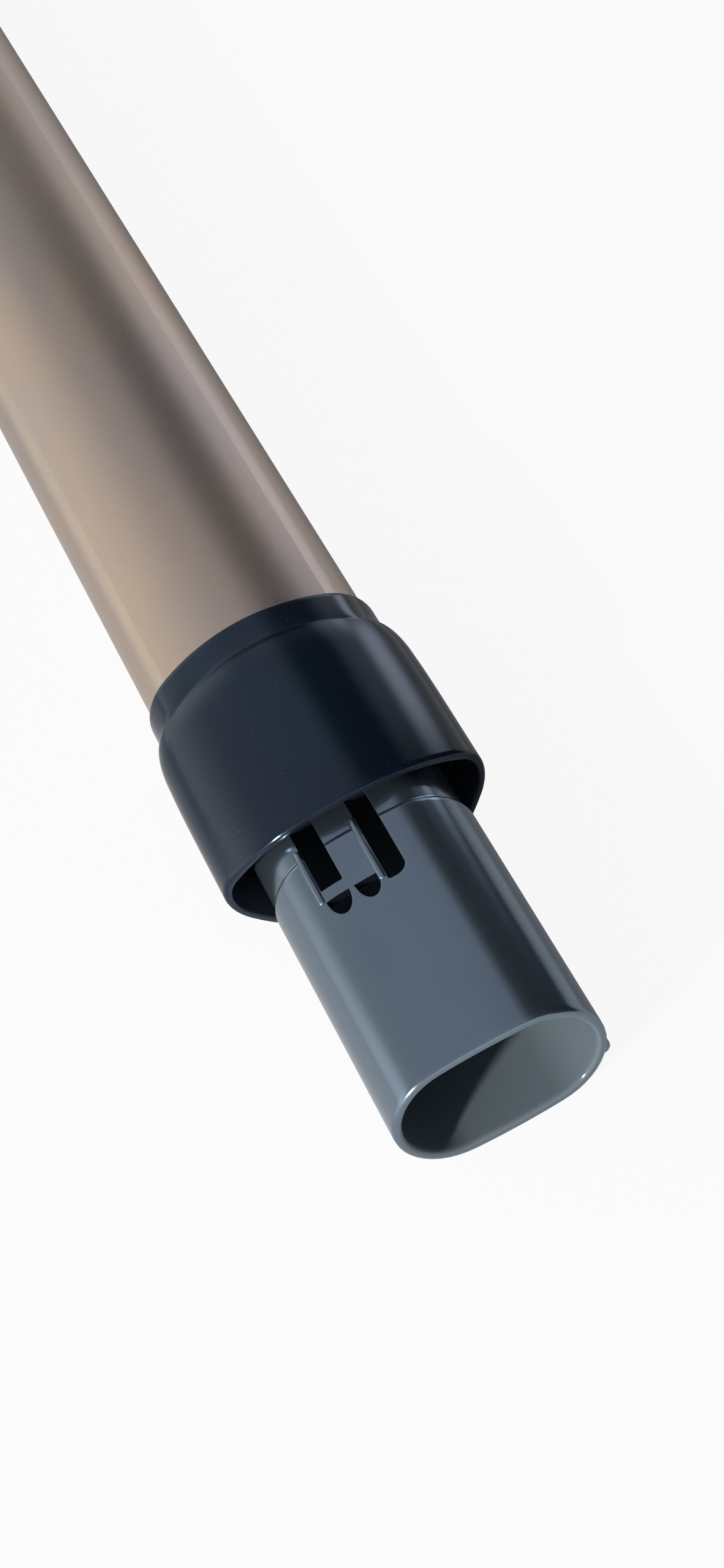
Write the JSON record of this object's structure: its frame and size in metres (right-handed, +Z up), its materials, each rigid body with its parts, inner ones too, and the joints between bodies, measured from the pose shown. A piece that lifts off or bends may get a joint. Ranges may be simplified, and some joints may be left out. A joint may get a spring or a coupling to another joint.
{
  "type": "telescopic vacuum wand",
  "caption": "Oval telescopic wand with a floor-end spigot and collar, a sliding upper tube, a sprung release slider and a handle-end socket with a latch button.",
  "frame": {"origin": "centre of the bounding box, on the surface that the wand lies on", "axes": "+X along the wand to the mouth of the floor-end spigot, +Y across the oval's width, +Z up, out of the face with the latch slots"},
  "size_m": [0.652, 0.056, 0.0465],
  "materials": {
    "anodised_champagne": "bead blasted and anodised champagne bronze, satin",
    "anodised_inner": "drawn and anodised pale champagne, satin",
    "spigot_plastic": "moulded anthracite, semi gloss",
    "collar_plastic": "moulded blue black, polished",
    "housing_plastic": "moulded blue black, semi gloss",
    "slider_plastic": "moulded grey, fine texture",
    "bush_plastic": "natural acetal",
    "grip_rubber": "soft touch, ribbed",
    "seal_rubber": "smooth",
    "felt": "dense felt",
    "steel": "zinc plated",
    "spring_steel": "bright spring wire"
  },
  "bodies": {
    "outer": {"outer_tube": "anodised_champagne", "spigot": "spigot_plastic", "lower_collar": "collar_plastic", "spigot_rivets": "steel", "guide_bush": "bush_plastic", "release_housing": "housing_plastic", "end_ring": "housing_plastic", "wiper_seal": "felt", "lock_carrier": "steel", "carrier_rivets": "steel", "slider_spring": "spring_steel"},
    "inner": {"inner_tube": "anodised_inner", "slide_ring": "bush_plastic", "air_seal": "seal_rubber", "socket_body": "housing_plastic", "socket_rivets": "steel", "latch_pivot_pin": "steel", "latch_spring": "spring_steel"},
    "slider": {"release_slider": "slider_plastic", "slider_grip": "grip_rubber"},
    "lock": {"lock_bolt": "steel", "cross_pin": "steel"},
    "button": {"latch_button": "slider_plastic"}
  },
  "joints": [
    {"name": "telescope", "type": "slide", "parent": "outer", "child": "inner", "axis": [-1, 0, 0], "range_m": [0, 0.33]},
    {"name": "release_slide", "type": "slide", "parent": "outer", "child": "slider", "axis": [1, 0, 0], "range_m": [0, 0.008], "stiffness_N_per_m": 300, "springref_m": -0.003, "deforming": ["slider_spring"]},
    {"name": "lock_lift", "type": "slide", "parent": "outer", "child": "lock", "axis": [0, 0, 1], "range_m": [0, 0.0024]},
    {"name": "latch_rock", "type": "hinge", "parent": "inner", "child": "button", "pos_m": [-0.2902, -0.003, 0.03595], "axis": [0, 1, 0], "range_deg": [0, 7], "stiffness_Nm_per_rad": 0.5, "springref_deg": -2.86, "deforming": ["latch_spring"]}
  ],
  "couplings": [
    {"joint": "lock_lift", "follows": "release_slide", "ratio": 0.3}
  ]
}
